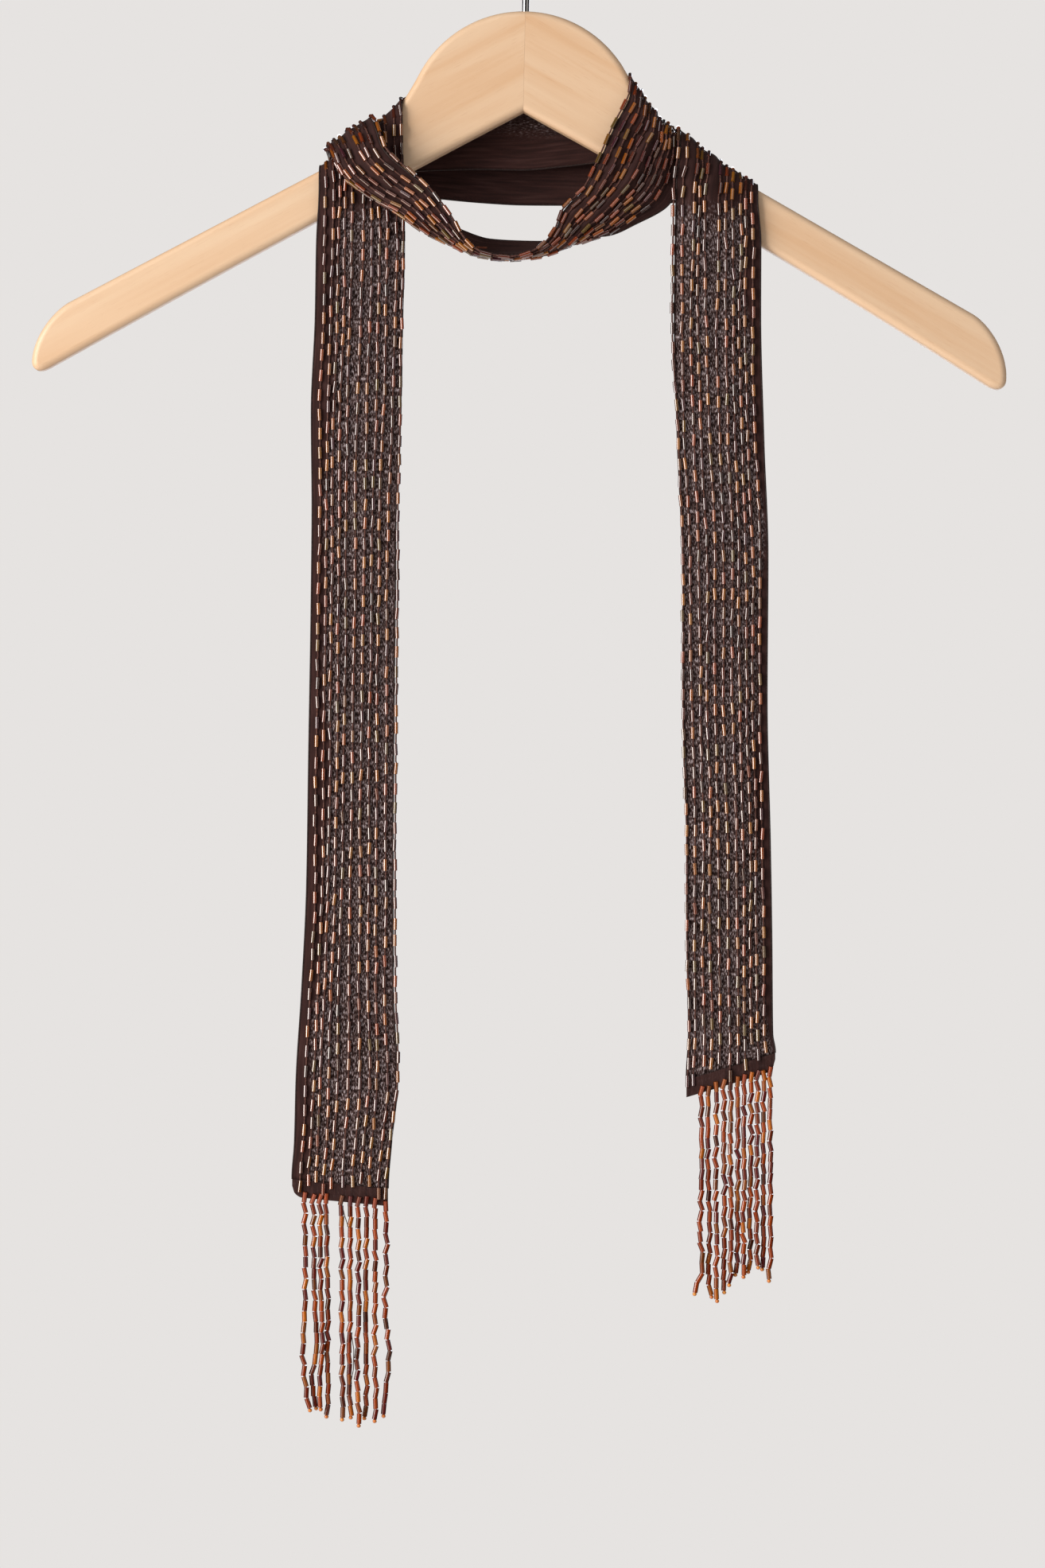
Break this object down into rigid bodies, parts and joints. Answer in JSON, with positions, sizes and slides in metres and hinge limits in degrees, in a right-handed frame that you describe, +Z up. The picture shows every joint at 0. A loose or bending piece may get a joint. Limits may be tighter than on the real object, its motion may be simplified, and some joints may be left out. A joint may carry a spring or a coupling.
{
  "type": "beaded skinny scarf on a coat hanger",
  "caption": "Narrow dark brown chiffon scarf sewn with rows of bugle beads and a beaded fringe at both ends, wound once round the neck of a wooden coat hanger.",
  "frame": {"origin": "inner top of the hook's bow, where a rail carries the hanger", "axes": "+Z up, +X towards the viewer's right along the hanger, -Y towards the viewer, the side on which the loop and both tails hang"},
  "size_m": [0.4454, 0.0527, 0.711],
  "materials": {
    "chiffon": "very dark brown crepe chiffon, matt, with fine crosswise lines",
    "bugle_beads": "short cut glass tubes, iridescent copper, amber and purple over dark brown",
    "thread": "brown sewing thread",
    "fringe_beads": "translucent amber to copper glass tubes strung on thread",
    "drop_beads": "small round golden orange glass beads",
    "wood": "pale maple, smooth, under a clear satin lacquer",
    "chrome": "polished chrome wire"
  },
  "bodies": {
    "root": {"tail_left": "chiffon", "back_inner": "chiffon", "swag_front": "chiffon", "back_outer": "chiffon", "tail_right": "chiffon", "fringe_left": "fringe_beads", "fringe_right": "fringe_beads", "hanger_left": "wood", "hanger_right": "wood", "hook": "chrome"}
  },
  "joints": []
}
